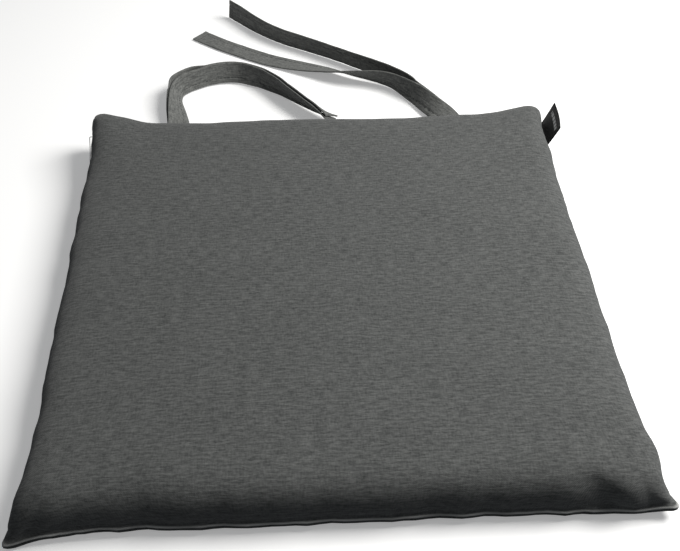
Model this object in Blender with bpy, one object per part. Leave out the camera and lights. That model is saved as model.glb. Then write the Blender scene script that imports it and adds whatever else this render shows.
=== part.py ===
"""Square chair seat pad: a two-panel fabric cover with low knife-edge seams, a foam core,
four fabric ties in two pairs, a folded side label and a coil zip in the rear seam.

Metres, +Z up. The origin is the middle of the flat underside. +Y points to the chair's back,
where the ties and the zip are, and +X to the right of someone looking that way.
"""

import math

import bmesh
import bpy
from mathutils import Vector

# Driving dimensions
PAD_WIDTH = 0.410  # from corner tip to corner tip
PAD_DEPTH = 0.410
PAD_HEIGHT = 0.040
SEAM_HEIGHT = 0.007
SIDE_DRAW = 0.0085  # how far the left and right sides are drawn in from the line of their corners
END_DRAW = 0.0050  # the same at the front and the rear
REAR_CURL = 0.008  # how far the rear corners stand up off the seat
CURL_WIDTH = 0.068  # along the rear, from a corner to where its curl starts
CURL_DEPTH = 0.105
REAR_CORNER_SHARE = 0.55  # the rear corners' radii, as a share of the front ones
CLOTH = 0.001  # cover fabric
GAP = 0.0003  # between pieces that touch
FOAM_LOWER_EDGE = 0.014  # how far the rounding of the foam's underside reaches in
LEAST_CORNER = 0.001  # the smallest corner radius of a face inside the cover

TIE_SPACING = 0.250
TIE_WIDTH = 0.020
TIE_THICKNESS = 0.0018
TIE_LAYER_GAP = 0.0011  # between the two straps of a pair
TIE_STEP = 0.0040  # spacing of the cross sections along a strap

LABEL_LENGTH = 0.034  # along the seam
LABEL_REACH = 0.026
LABEL_THICKNESS = 0.0012
LABEL_FROM_CORNER = 0.008
LABEL_LEAN = 26.0  # degrees outward from upright

ZIP_LENGTH = 0.200
ZIP_OPENING = 0.0064  # between the two folded panel edges
ZIP_TAPE = 0.0005
ZIP_TAPE_WIDTH = 0.010
ZIP_TAPE_BEND = 0.0020  # above the seam, where the upper tape starts to lean in
ZIP_TAPE_LEAN = 0.0004  # how far in the upper tape has leaned at its top
ZIP_CUT_REACH = 0.004  # how far the opening is cut to each side of the rear seam
COIL_HEIGHT = 0.0016
COIL_DEPTH = 0.0014
STOP_WIDTH = 0.002
SLIDER_LENGTH = 0.009
SLIDER_WALL = 0.0008
PULL_LENGTH = 0.016
PULL_WIDTH = 0.0045
PULL_THICKNESS = 0.0008
PULL_CORNER = 0.00135
BAIL_REACH = 0.0026
BAIL_STEPS = 8

THREAD_RADIUS = 0.0003
THREAD_CORNER = 0.003

# The cover's outside, from the seam to the middle: (distance in from the seam,
# share of the way from the seam up to the crown or down to the underside, corner radius)
TOP_PROFILE = (
    (0.0000, 0.005, 0.0030),
    (0.0002, 0.090, 0.0060),
    (0.0005, 0.240, 0.0110),
    (0.0010, 0.400, 0.0160),
    (0.0022, 0.575, 0.0200),
    (0.0050, 0.740, 0.0240),
    (0.0100, 0.850, 0.0270),
    (0.0200, 0.920, 0.0320),
    (0.0450, 0.970, 0.0400),
    (0.1000, 1.000, 0.0450),
)
BOTTOM_PROFILE = (
    (0.0000, 0.025, 0.0030),
    (0.0008, 0.360, 0.0035),
    (0.0030, 0.720, 0.0050),
    (0.0080, 0.930, 0.0080),
    (0.0140, 1.000, 0.0120),
    (0.0270, 1.000, 0.0160),
    (0.0400, 1.000, 0.0200),
    (0.0550, 1.000, 0.0240),
    (0.0700, 1.000, 0.0300),
)
ARC_STEPS = 6
SIDE_STEPS = 24
FLAT_ROWS = 5  # rows of the underside's profile that lie in its plane

# The foam's lower edge, from its underside up: (share of FOAM_LOWER_EDGE in from the side,
# height above the underside, corner radius)
FOAM_LOWER_PROFILE = (
    (1.00, 0.0000, 0.010),
    (0.55, 0.0016, 0.008),
    (0.22, 0.0034, 0.006),
    (0.00, 0.0068, 0.005),
)

# The lower zip tape folds in along the underside: (distance in from its face, below the seam)
LOWER_TAPE_OUTSIDE = ((0.0, GAP), (0.0, 0.0014), (0.0024, 0.0038), (0.0064, 0.0051))
LOWER_TAPE_INSIDE = ((0.0064, 0.0046), (0.0026, 0.0033), (ZIP_TAPE, 0.0012), (ZIP_TAPE, GAP))

# Each strap's way from its root: (right, back, lean in degrees, lift above resting height).
# Lean 0 lies flat, 90 stands on edge with its upper face turned right, -90 turned left.
LEFT_FRONT_WAY = (
    (0.000, 0.0007, 0, 0.0045),
    (0.000, 0.0080, 0, 0.0045),
    (-0.0005, 0.018, 6, 0.0035),
    (-0.002, 0.034, 21, 0.0010),
    (-0.004, 0.049, 37, 0.0),
    (-0.0055, 0.062, 52, 0.0),
    (-0.006, 0.074, 65, 0.0),
    (-0.0035, 0.0845, 74, 0.0),
    (0.003, 0.0925, 77, 0.0),
    (0.012, 0.0985, 80, 0.0),
    (0.022, 0.1040, 79, 0.0),
    (0.034, 0.1080, 74, 0.0),
    (0.045, 0.1090, 70, 0.0),
    (0.055, 0.1070, 70, 0.0),
    (0.064, 0.1023, 74, 0.0),
    (0.0735, 0.0966, 81, 0.0),
    (0.082, 0.0898, 89, 0.0),
    (0.0905, 0.0812, 98, 0.0),
    (0.0985, 0.0712, 106, 0.0),
    (0.107, 0.0606, 113, 0.0),
    (0.117, 0.0490, 121, 0.0),
    (0.128, 0.0375, 132, 0.0),
    (0.1375, 0.0285, 149, 0.0),
)
LEFT_BACK_WAY = (
    (-0.0095, 0.0880, 76, 0.0),
    (-0.002, 0.0978, 79, 0.0),
    (0.008, 0.1050, 81, 0.0),
)
RIGHT_FRONT_WAY = (
    (0.000, 0.0007, 0, 0.0045),
    (0.000, 0.0080, 0, 0.0045),
    (-0.001, 0.0160, -6, 0.0038),
    (-0.006, 0.028, -22, 0.0012),
    (-0.014, 0.039, -38, 0.0),
    (-0.022, 0.050, -52, 0.0),
    (-0.0295, 0.061, -66, 0.0),
    (-0.037, 0.0710, -80, 0.0),
    (-0.044, 0.0800, -92, 0.0),
    (-0.0515, 0.0868, -103, 0.0),
    (-0.061, 0.0925, -112, 0.0),
    (-0.0735, 0.0973, -124, 0.0),
    (-0.086, 0.1015, -135, 0.0),
    (-0.0975, 0.1068, -147, 0.0),
    (-0.1085, 0.1130, -158, -0.0005),
    (-0.122, 0.1208, -167, -0.0010),
    (-0.138, 0.1292, -174, -0.0018),
    (-0.153, 0.1372, -178, -0.0025),
    (-0.168, 0.1455, -180, -0.0029),
    (-0.183, 0.1546, -180, -0.0029),
    (-0.198, 0.1647, -180, -0.0029),
    (-0.2135, 0.1755, -180, -0.0029),
    (-0.229, 0.1880, -180, -0.0029),
    (-0.241, 0.1985, -180, -0.0029),
)
RIGHT_BACK_WAY = (
    (-0.0285, 0.0660, -76, 0.0),
    (-0.033, 0.0770, -83, 0.0),
    (-0.0395, 0.0870, -88, 0.0),
    (-0.0495, 0.0985, -94, 0.0),
    (-0.0625, 0.1100, -99, 0.0),
    (-0.079, 0.1228, -103, 0.0),
    (-0.101, 0.1391, -105, 0.0),
    (-0.1185, 0.1518, -104, 0.0),
    (-0.136, 0.1634, -102, 0.0),
    (-0.154, 0.1755, -100, 0.0),
    (-0.172, 0.1915, -96, 0.0),
    (-0.187, 0.2085, -89, 0.0),
    (-0.200, 0.2250, -84, 0.0),
    (-0.210, 0.2370, -84, 0.0),
)
LEFT_SHARED = (6, 10)  # the back strap follows the front one before and after its own points
RIGHT_SHARED = (4, None)

REAR_SEAM_Y = PAD_DEPTH / 2 - END_DRAW
TIE_STACK = TIE_THICKNESS + TIE_LAYER_GAP
COIL_FACE = 0.0002  # how far in from the seam the coil's outer face lies
TAPE_FACE = COIL_FACE + COIL_DEPTH + GAP
ZIP_BOW = END_DRAW * (ZIP_LENGTH / PAD_WIDTH) ** 4  # how far out the seam bows at the zip's ends
# From the outside of the top panel to the foam, past the cloth and the straight zip tape
FOAM_CLEARANCE = TAPE_FACE + ZIP_TAPE + ZIP_TAPE_LEAN + ZIP_BOW + GAP


def clear_scene():
    for obj in list(bpy.data.objects):
        bpy.data.objects.remove(obj)


def new_material(name, color, roughness, metallic=0.0):
    material = bpy.data.materials.new(name)
    material.use_nodes = True
    shader = material.node_tree.nodes["Principled BSDF"]
    shader.inputs["Base Color"].default_value = (*color, 1.0)
    shader.inputs["Roughness"].default_value = roughness
    shader.inputs["Metallic"].default_value = metallic
    return material


def new_object(name, bm, material, origin=(0.0, 0.0, 0.0), smooth=True):
    """An object whose origin is at `origin`, with the mesh given in world places."""
    bmesh.ops.recalc_face_normals(bm, faces=bm.faces)
    bmesh.ops.translate(bm, verts=bm.verts, vec=-Vector(origin))
    mesh = bpy.data.meshes.new(name)
    bm.to_mesh(mesh)
    bm.free()
    mesh.materials.append(material)
    if smooth:
        mesh.shade_smooth()
        mesh.set_sharp_from_angle(angle=math.radians(40))
    obj = bpy.data.objects.new(name, mesh)
    obj.location = origin
    bpy.context.collection.objects.link(obj)
    return obj


def cut(obj, name, low, high):
    """Cuts the box between two corners out of an object."""
    bm = bmesh.new()
    bmesh.ops.create_cube(bm, size=1.0)
    low, high = Vector(low), Vector(high)
    for vert in bm.verts:
        vert.co = Vector(a + (b - a) * (c + 0.5) for a, b, c in zip(low, high, vert.co))
    cutter = new_object(name, bm, obj.data.materials[0], smooth=False)
    cutter.hide_render = True
    cutter.display_type = "WIRE"
    modifier = obj.modifiers.new(name, "BOOLEAN")
    modifier.operation = "DIFFERENCE"
    modifier.object = cutter


# The pad's outline


def pad_ring(inset, height, corner_radius):
    """A level loop round the pad: a rounded square whose sides are drawn in between the corners."""
    half_x = PAD_WIDTH / 2 - inset
    half_y = PAD_DEPTH / 2 - inset
    loop = []
    for quarter in range(4):
        turn = quarter * math.pi / 2
        sign_x = 1 if quarter in (0, 3) else -1
        sign_y = 1 if quarter in (0, 1) else -1
        radius = corner_radius * (REAR_CORNER_SHARE if sign_y > 0 else 1)
        centre = Vector((sign_x * (half_x - radius), sign_y * (half_y - radius)))
        arc = []
        for step in range(ARC_STEPS + 1):
            angle = turn + step / ARC_STEPS * math.pi / 2
            arc.append(centre + radius * Vector((math.cos(angle), math.sin(angle))))
        if loop:
            loop += side_points(loop[-1], arc[0])
        loop += arc
    loop += side_points(loop[-1], loop[0])
    ring = []
    for x, y in loop:
        drawn_x = x * (1 - SIDE_DRAW / (PAD_WIDTH / 2) * (1 - min(abs(y) / half_y, 1) ** 4))
        drawn_y = y * (1 - END_DRAW / (PAD_DEPTH / 2) * (1 - min(abs(x) / half_x, 1) ** 4))
        ring.append(Vector((drawn_x, drawn_y, height + rear_curl(drawn_x, drawn_y))))
    return ring


def rear_curl(x, y):
    """How far everything at one place is lifted by the curl of the rear corners."""
    across = eased((abs(x) - PAD_WIDTH / 2) / CURL_WIDTH + 1)
    back = eased((y - PAD_DEPTH / 2) / CURL_DEPTH + 1)
    return REAR_CURL * across * back


def eased(share):
    share = min(max(share, 0.0), 1.0)
    return share * share * (3 - 2 * share)


def seam_edge(along, across_size, along_size, draw):
    """How far out the seam lies on one side, at a distance along that side from its middle."""
    share = min(abs(along) / (along_size / 2), 1)
    return across_size / 2 - draw * (1 - share**4)


def side_points(start, end):
    return [start.lerp(end, step / SIDE_STEPS) for step in range(1, SIDE_STEPS)]


def top_section():
    rise = PAD_HEIGHT - SEAM_HEIGHT
    return [(inset, SEAM_HEIGHT + share * rise, radius) for inset, share, radius in TOP_PROFILE]


def bottom_section():
    return [(inset, SEAM_HEIGHT * (1 - share), radius) for inset, share, radius in BOTTOM_PROFILE]


def moved_in(section, distance, inward_sign):
    """The section's copy at a distance inside it. inward_sign is -1 above the seam, 1 below it."""
    moved = []
    last = len(section) - 1
    for i, (inset, height, radius) in enumerate(section):
        if i == 0:
            normal = Vector((1.0, 0.0))
        elif i == last:
            normal = Vector((0.0, inward_sign))
        else:
            before, after = section[i - 1], section[i + 1]
            along = Vector((after[0] - before[0], after[1] - before[1])).normalized()
            normal = Vector((-along.y, along.x)) * inward_sign
        moved.append(
            (
                inset + normal.x * distance,
                height + normal.y * distance,
                max(radius - distance * 0.5, LEAST_CORNER),
            )
        )
    return moved


def solid_from_rings(rings):
    """A closed body through rings of equal length, with its first and last ring capped."""
    bm = bmesh.new()
    loops = [[bm.verts.new(co) for co in ring] for ring in rings]
    for low, high in zip(loops, loops[1:]):
        for i in range(len(low)):
            j = (i + 1) % len(low)
            bm.faces.new((low[i], low[j], high[j], high[i]))
    bm.faces.new(loops[0])
    bm.faces.new(loops[-1])
    return bm


def shell_from_sections(outer, inner):
    """A cloth shell that is open where the two sections start."""
    bm = bmesh.new()
    loops = [[bm.verts.new(co) for co in pad_ring(*row)] for row in outer + inner[::-1]]
    for low, high in zip(loops, loops[1:] + loops[:1]):
        if low is loops[len(outer) - 1]:
            bm.faces.new(low)
            bm.faces.new(high)
            continue
        for i in range(len(low)):
            j = (i + 1) % len(low)
            bm.faces.new((low[i], low[j], high[j], high[i]))
    return bm


def bar_along_x(name, section, x_from, x_to, material):
    """A bar of constant section. The section is (distance in from the rear seam, height)."""
    rings = [
        [Vector((x, REAR_SEAM_Y - inset, height)) for inset, height in section]
        for x in (x_from, x_to)
    ]
    return new_object(name, solid_from_rings(rings), material, smooth=False)


# Cover and filling


def make_cover(fabric):
    for name, section, inward_sign in (
        ("cover_top_panel", top_section(), -1),
        ("cover_bottom_panel", bottom_section(), 1),
    ):
        inner = moved_in(section, CLOTH, inward_sign)
        panel = new_object(name, shell_from_sections(section, inner), fabric)
        half_length = ZIP_LENGTH / 2 + STOP_WIDTH + 2 * GAP
        cut(
            panel,
            f"zip_opening_of_{name}",
            (-half_length, REAR_SEAM_Y - ZIP_CUT_REACH, SEAM_HEIGHT - ZIP_OPENING / 2),
            (half_length, REAR_SEAM_Y + ZIP_CUT_REACH, SEAM_HEIGHT + ZIP_OPENING / 2),
        )


def make_foam(foam):
    above = [
        row
        for row in moved_in(top_section(), FOAM_CLEARANCE, -1)
        if row[1] > SEAM_HEIGHT + FOAM_CLEARANCE / 2
    ]
    side_inset = above[0][0]
    base = CLOTH + GAP
    edge_inset = side_inset + FOAM_LOWER_EDGE
    flat = [
        (inset, base, radius) for inset, _, radius in BOTTOM_PROFILE[-FLAT_ROWS:] if inset > edge_inset
    ]
    below = [
        (side_inset + share * FOAM_LOWER_EDGE, base + height, radius)
        for share, height, radius in FOAM_LOWER_PROFILE
    ]
    rings = [pad_ring(*row) for row in flat[::-1] + below + above]
    new_object("foam_core", solid_from_rings(rings), foam)


def make_seam_thread(thread):
    """One thread round the seam, from one end of the zip to the other."""
    inset = CLOTH + 2 * GAP + THREAD_RADIUS
    stop_x = ZIP_LENGTH / 2 + STOP_WIDTH + 4 * GAP + THREAD_RADIUS
    ring = pad_ring(inset, SEAM_HEIGHT, THREAD_CORNER)
    rear_y = REAR_SEAM_Y - inset
    rear_band = rear_y - 2 * THREAD_CORNER
    start = next(i for i, co in enumerate(ring) if co.y > rear_band and co.x < -stop_x)
    around = ring[start:] + ring[:start]
    run = [co for co in around if co.y <= rear_band or abs(co.x) > stop_x]
    ends = [Vector((side * stop_x, rear_y, SEAM_HEIGHT)) for side in (-1, 1)]
    curve = bpy.data.curves.new("seam_thread", "CURVE")
    curve.dimensions = "3D"
    curve.bevel_depth = THREAD_RADIUS
    curve.bevel_resolution = 1
    curve.use_fill_caps = True
    curve.materials.append(thread)
    spline = curve.splines.new("POLY")
    points = [ends[0], *run, ends[1]]
    spline.points.add(len(points) - 1)
    for point, co in zip(spline.points, points):
        point.co = (*co, 1.0)
    bpy.context.collection.objects.link(bpy.data.objects.new("seam_thread", curve))


# Ties


def resting_height(lean, layers):
    """The middle of a strap that rests on the floor, or on another strap when layers is 1."""
    upright, flat = abs(math.sin(math.radians(lean))), abs(math.cos(math.radians(lean)))
    return 2 * GAP + TIE_WIDTH / 2 * upright + (TIE_THICKNESS / 2 + TIE_STACK * layers) * flat


def way_points(way, root, layers):
    return [
        Vector((root.x + right, root.y + back, resting_height(lean, layers) + lift, lean))
        for right, back, lean, lift in way
    ]


def smooth_way(points, before=None, after=None):
    """Points every TIE_STEP or so on a curve through the given ones, each x, y, z and lean,
    and the place of each given point among them."""
    before = before or 2 * points[0] - points[1]
    after = after or 2 * points[-1] - points[-2]
    ends = [before, *points, after]
    curve = []
    marks = []
    for a, b, c, d in zip(ends, ends[1:], ends[2:], ends[3:]):
        steps = max(2, round((c - b).to_3d().length / TIE_STEP))
        marks.append(len(curve))
        for step in range(steps):
            t = step / steps
            curve.append(
                0.5
                * (
                    2 * b
                    + (c - a) * t
                    + (2 * a - 5 * b + 4 * c - d) * t**2
                    + (3 * b - a - 3 * c + d) * t**3
                )
            )
    marks.append(len(curve))
    return [*curve, points[-1].copy()], marks


def strap_frames(points):
    """(middle, direction across the width, face normal) at each point."""
    frames = []
    last = len(points) - 1
    for i, point in enumerate(points):
        along = (points[min(i + 1, last)] - points[max(i - 1, 0)]).to_3d().normalized()
        left = Vector((-along.y, along.x, 0.0)).normalized()
        lean = math.radians(point.w)
        up = along.cross(left) * -1
        up = up if up.z > 0 else -up
        across = math.cos(lean) * left + math.sin(lean) * up
        frames.append((point.to_3d(), across, along.cross(across).normalized()))
    return frames


def make_strap(name, points, fabric, pivot):
    rings = []
    for middle, across, normal in strap_frames(points):
        wide, thick = across * TIE_WIDTH / 2, normal * TIE_THICKNESS / 2
        rings.append(
            [middle + wide + thick, middle - wide + thick, middle - wide - thick, middle + wide - thick]
        )
    bm = solid_from_rings(rings)
    bmesh.ops.triangulate(bm, faces=bm.faces, quad_method="SHORT_EDGE")
    strap = new_object(name, bm, fabric, origin=pivot.location)
    strap.parent = pivot
    strap.matrix_parent_inverse = pivot.matrix_basis.inverted()


def under_strap(points):
    """The way of a second strap that lies against the lower face of one that follows points."""
    moved = []
    for point, (middle, _, normal) in zip(points, strap_frames(points)):
        moved.append(Vector((*(middle - normal * TIE_STACK), point.w)))
    return moved


def make_tie_pair(side, sign, front_way, back_way, shared, fabric):
    """Two straps that leave the seam one on the other and part further out."""
    outer_edge = TIE_SPACING / 2 + TIE_WIDTH / 2
    root_y = seam_edge(outer_edge, PAD_DEPTH, PAD_WIDTH, END_DRAW)
    root = Vector((sign * TIE_SPACING / 2, root_y, 0.0))
    pivot = bpy.data.objects.new(f"tie_{side}_pivot", None)
    pivot.location = (root.x, root.y + GAP, SEAM_HEIGHT + TIE_STACK)
    bpy.context.collection.objects.link(pivot)
    front, marks = smooth_way(way_points(front_way, root, 1))
    under = under_strap(front)
    leave, join = shared
    own = [under[marks[leave]], *way_points(back_way, root, 0)]
    before = under[marks[leave - 1]]
    if join is None:
        own, _ = smooth_way(own, before)
        back = under[: marks[leave]] + own
    else:
        own, _ = smooth_way([*own, under[marks[join]]], before, under[marks[join + 1]])
        back = under[: marks[leave]] + own + under[marks[join] + 1 :]
    make_strap(f"tie_{side}_front_strap", front, fabric, pivot)
    make_strap(f"tie_{side}_back_strap", back, fabric, pivot)


# Label


def make_label(fabric):
    """A folded woven label that stands up and out from the right-hand seam near the rear."""
    lean = math.radians(LABEL_LEAN)
    outward = Vector((math.sin(lean), 0.0, math.cos(lean)))
    face = Vector((math.cos(lean), 0.0, -math.sin(lean)))
    y_to = PAD_DEPTH / 2 - LABEL_FROM_CORNER
    feet = []
    for y in (y_to - LABEL_LENGTH, y_to):
        x = seam_edge(y, PAD_WIDTH, PAD_DEPTH, SIDE_DRAW)
        feet.append(Vector((x + 2 * GAP, y, SEAM_HEIGHT + rear_curl(x, y))))
    rings = [
        [
            foot,
            foot + outward * LABEL_REACH,
            foot + outward * LABEL_REACH + face * LABEL_THICKNESS,
            foot + face * LABEL_THICKNESS,
        ]
        for foot in feet
    ]
    middle = (feet[0] + feet[1]) / 2
    new_object("label", solid_from_rings(rings), fabric, origin=middle, smooth=False)


# Rear zip


def make_zip(tape, coil, metal):
    half = ZIP_LENGTH / 2
    seam = SEAM_HEIGHT
    front = TAPE_FACE
    back = TAPE_FACE + ZIP_TAPE
    upper = [
        (front, seam + GAP),
        (front, seam + ZIP_TAPE_BEND),
        (front + ZIP_TAPE_LEAN, seam + ZIP_TAPE_WIDTH),
        (back + ZIP_TAPE_LEAN, seam + ZIP_TAPE_WIDTH),
        (back, seam + ZIP_TAPE_BEND),
        (back, seam + GAP),
    ]
    lower = [
        (front + inset, seam - depth) for inset, depth in LOWER_TAPE_OUTSIDE + LOWER_TAPE_INSIDE
    ]
    bar_along_x("zip_tape_upper", upper, -half, half, tape)
    bar_along_x("zip_tape_lower", lower, -half, half, tape)
    for name, low in (("upper", seam + GAP / 2), ("lower", seam - GAP / 2 - COIL_HEIGHT)):
        section = [
            (COIL_FACE, low),
            (COIL_FACE, low + COIL_HEIGHT),
            (COIL_FACE + COIL_DEPTH, low + COIL_HEIGHT),
            (COIL_FACE + COIL_DEPTH, low),
        ]
        bar_along_x(f"zip_coil_{name}", section, -half, half, coil)
    stop_half = COIL_HEIGHT + GAP
    stop = [
        (COIL_FACE, seam - stop_half),
        (COIL_FACE, seam + stop_half),
        (COIL_FACE + COIL_DEPTH, seam + stop_half),
        (COIL_FACE + COIL_DEPTH, seam - stop_half),
    ]
    bar_along_x("zip_stop_open_end", stop, -half - GAP - STOP_WIDTH, -half - GAP, metal)
    bar_along_x("zip_stop_closed_end", stop, half + GAP, half + GAP + STOP_WIDTH, metal)
    make_slider(metal)


def slider_park_x():
    return ZIP_LENGTH / 2 - SLIDER_LENGTH / 2


def make_slider(metal):
    """A channel that rides over both coils, with an arched bail, and the pull that hangs on it."""
    park = slider_park_x()
    channel = COIL_HEIGHT + GAP / 2 + GAP
    outside = channel + SLIDER_WALL
    plate_in = COIL_FACE - GAP
    plate_out = plate_in - SLIDER_WALL
    lip = TAPE_FACE - GAP
    section = [
        (plate_out, -outside),
        (plate_out, outside),
        (lip, outside),
        (lip, channel),
        (plate_in, channel),
        (plate_in, -channel),
        (lip, -channel),
        (lip, -outside),
    ]
    section = [(inset, SEAM_HEIGHT + height) for inset, height in section]
    ends = (park - SLIDER_LENGTH / 2, park + SLIDER_LENGTH / 2)
    slider = bar_along_x("zip_slider", section, *ends, metal)
    plate_y = REAR_SEAM_Y - plate_out
    axis_y = plate_y + GAP + PULL_THICKNESS / 2
    bail = bpy.data.objects.new("zip_slider_bail", bail_mesh(park, plate_y))
    bail.hide_render = True
    bail.display_type = "WIRE"
    bpy.context.collection.objects.link(bail)
    union = slider.modifiers.new("bail", "BOOLEAN")
    union.operation = "UNION"
    union.object = bail
    make_pull(park, axis_y, metal)


def bail_mesh(park, plate_y):
    """An arch over the plate, thin along Z, that the pull's eye passes round."""
    wire = SLIDER_WALL
    inner_rise = PULL_THICKNESS + 3 * GAP
    inner = []
    outer = []
    for step in range(BAIL_STEPS + 1):
        angle = math.pi * step / BAIL_STEPS
        reach = Vector((math.cos(angle), math.sin(angle)))
        inner.append((park + reach.x * (BAIL_REACH - wire), plate_y + reach.y * inner_rise))
        outer.append((park + reach.x * BAIL_REACH, plate_y + reach.y * (inner_rise + wire)))
    sunk = plate_y - SLIDER_WALL / 2
    outline = [(outer[0][0], sunk), *outer, (outer[-1][0], sunk)]
    outline += [(inner[-1][0], sunk), *inner[::-1], (inner[0][0], sunk)]
    rings = [
        [Vector((x, y, SEAM_HEIGHT + side * wire / 2)) for x, y in outline] for side in (-1, 1)
    ]
    bm = solid_from_rings(rings)
    bmesh.ops.recalc_face_normals(bm, faces=bm.faces)
    mesh = bpy.data.meshes.new("zip_slider_bail")
    bm.to_mesh(mesh)
    bm.free()
    return mesh


def make_pull(park, axis_y, metal):
    """A flat tab with a square eye, which turns about the bar between the eye and its end."""
    half_t = PULL_THICKNESS / 2
    half_w = PULL_WIDTH / 2
    outline = [
        (half_t, -half_w),
        (half_t, half_w),
        (-PULL_LENGTH + PULL_CORNER, half_w),
        (-PULL_LENGTH, half_w - PULL_CORNER),
        (-PULL_LENGTH, PULL_CORNER - half_w),
        (-PULL_LENGTH + PULL_CORNER, -half_w),
    ]
    rings = [
        [Vector((park + x, axis_y + side * half_t, SEAM_HEIGHT + z)) for x, z in outline]
        for side in (-1, 1)
    ]
    pivot = (park, axis_y, SEAM_HEIGHT)
    pull = new_object("zip_pull", solid_from_rings(rings), metal, origin=pivot, smooth=False)
    eye_z = SLIDER_WALL / 2 + 2 * GAP
    eye_far = BAIL_REACH + 3 * GAP
    cut(
        pull,
        "zip_pull_eye",
        (park - eye_far, axis_y - PULL_THICKNESS, SEAM_HEIGHT - eye_z),
        (park - half_t, axis_y + PULL_THICKNESS, SEAM_HEIGHT + eye_z),
    )


def main():
    clear_scene()
    cover = new_material("cover_fabric", (0.105, 0.108, 0.105), 0.92)
    tie = new_material("tie_fabric", (0.080, 0.083, 0.083), 0.92)
    black = new_material("label_satin", (0.012, 0.012, 0.013), 0.55)
    thread = new_material("sewing_thread", (0.060, 0.062, 0.062), 0.70)
    foam = new_material("foam", (0.75, 0.72, 0.62), 0.95)
    tape = new_material("zip_tape", (0.030, 0.031, 0.032), 0.85)
    coil = new_material("zip_coil", (0.020, 0.020, 0.022), 0.45)
    metal = new_material("zip_metal", (0.045, 0.045, 0.048), 0.40, 1.0)
    make_cover(cover)
    make_foam(foam)
    make_seam_thread(thread)
    make_tie_pair("left", -1, LEFT_FRONT_WAY, LEFT_BACK_WAY, LEFT_SHARED, tie)
    make_tie_pair("right", 1, RIGHT_FRONT_WAY, RIGHT_BACK_WAY, RIGHT_SHARED, tie)
    make_label(black)
    make_zip(tape, coil, metal)


main()
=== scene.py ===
import math

import bmesh
import bpy
from mathutils import Matrix, Vector, noise


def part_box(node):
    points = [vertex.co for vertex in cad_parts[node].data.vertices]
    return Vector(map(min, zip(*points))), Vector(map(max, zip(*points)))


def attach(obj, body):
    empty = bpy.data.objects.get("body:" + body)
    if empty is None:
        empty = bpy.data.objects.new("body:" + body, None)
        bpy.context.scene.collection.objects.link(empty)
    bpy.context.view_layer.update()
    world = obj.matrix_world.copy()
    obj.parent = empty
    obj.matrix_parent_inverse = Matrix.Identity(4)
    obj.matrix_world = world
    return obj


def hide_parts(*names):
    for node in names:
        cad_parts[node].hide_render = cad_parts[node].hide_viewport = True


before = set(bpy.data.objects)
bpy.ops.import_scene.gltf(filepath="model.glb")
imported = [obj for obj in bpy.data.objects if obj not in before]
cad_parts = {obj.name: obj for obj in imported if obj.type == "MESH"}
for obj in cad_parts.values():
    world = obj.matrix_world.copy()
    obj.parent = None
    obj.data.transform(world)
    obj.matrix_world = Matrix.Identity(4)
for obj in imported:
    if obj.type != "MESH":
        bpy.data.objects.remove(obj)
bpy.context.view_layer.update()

# ---- Viewpoint ----
# The camera stands in front of the pad, a little to the left, and looks down at its middle.
# Its lens is a plain 53 mm one, so the near edge looks much wider than the far one.
CAMERA_PLACE = Vector((-0.0228, -0.546, 0.5372))
CAMERA_HEADING = math.radians(3.30)
CAMERA_DIP = math.radians(43.1)
CAMERA_ROLL = math.radians(0.20)

ahead = Vector(
    (
        math.sin(CAMERA_HEADING) * math.cos(CAMERA_DIP),
        math.cos(CAMERA_HEADING) * math.cos(CAMERA_DIP),
        -math.sin(CAMERA_DIP),
    )
)
level = ahead.cross(Vector((0.0, 0.0, 1.0))).normalized()
upward = level.cross(ahead)
sideways = math.cos(CAMERA_ROLL) * level + math.sin(CAMERA_ROLL) * upward
upward = -math.sin(CAMERA_ROLL) * level + math.cos(CAMERA_ROLL) * upward
camera_data = bpy.data.cameras.new("camera")
camera_data.lens = 53.3
camera_data.sensor_width = 36.0
camera = bpy.data.objects.new("camera", camera_data)
turned = Matrix((sideways, upward, -ahead)).transposed().to_4x4()
camera.matrix_world = Matrix.Translation(CAMERA_PLACE) @ turned
bpy.context.scene.collection.objects.link(camera)
bpy.context.scene.camera = camera
bpy.context.scene.view_settings.view_transform = "Standard"

# ---- Canvas ----
# The pad and its ties are cut from one melange canvas: dark yarns with paler flecks spun in,
# plain-woven at about two yarns a millimetre, so short pale slubs run along the weft.
# The group takes a place on the flat cloth, in metres, and gives its colour and relief.


def new_group(name, inputs, outputs):
    """An empty node group with these (socket type, name) pairs, and its two end nodes."""
    group = bpy.data.node_groups.new(name, "ShaderNodeTree")
    for kind, label in inputs:
        group.interface.new_socket(label, in_out="INPUT", socket_type=kind)
    for kind, label in outputs:
        group.interface.new_socket(label, in_out="OUTPUT", socket_type=kind)
    return group, group.nodes.new("NodeGroupInput"), group.nodes.new("NodeGroupOutput")


def wire(tree, source, sink, sink_socket, source_socket=0):
    tree.links.new(source.outputs[source_socket], sink.inputs[sink_socket])


def put_math(tree, operation, first, second=None, third=None):
    """A Math node whose inputs are numbers or (node, socket) pairs."""
    node = tree.nodes.new("ShaderNodeMath")
    node.operation = operation
    for slot, value in enumerate((first, second, third)):
        if isinstance(value, tuple):
            tree.links.new(value[0].outputs[value[1]], node.inputs[slot])
        elif value is not None:
            node.inputs[slot].default_value = value
    return node


def put_noise(tree, place, scale, detail=2.0, roughness=0.55):
    """A Noise node on a place stretched by scale, which is in cycles per metre each way."""
    stretch = tree.nodes.new("ShaderNodeVectorMath")
    stretch.operation = "MULTIPLY"
    stretch.inputs[1].default_value = scale
    tree.links.new(place[0].outputs[place[1]], stretch.inputs[0])
    node = tree.nodes.new("ShaderNodeTexNoise")
    node.inputs["Scale"].default_value = 1.0
    node.inputs["Detail"].default_value = detail
    node.inputs["Roughness"].default_value = roughness
    wire(tree, stretch, node, "Vector")
    return node


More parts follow.
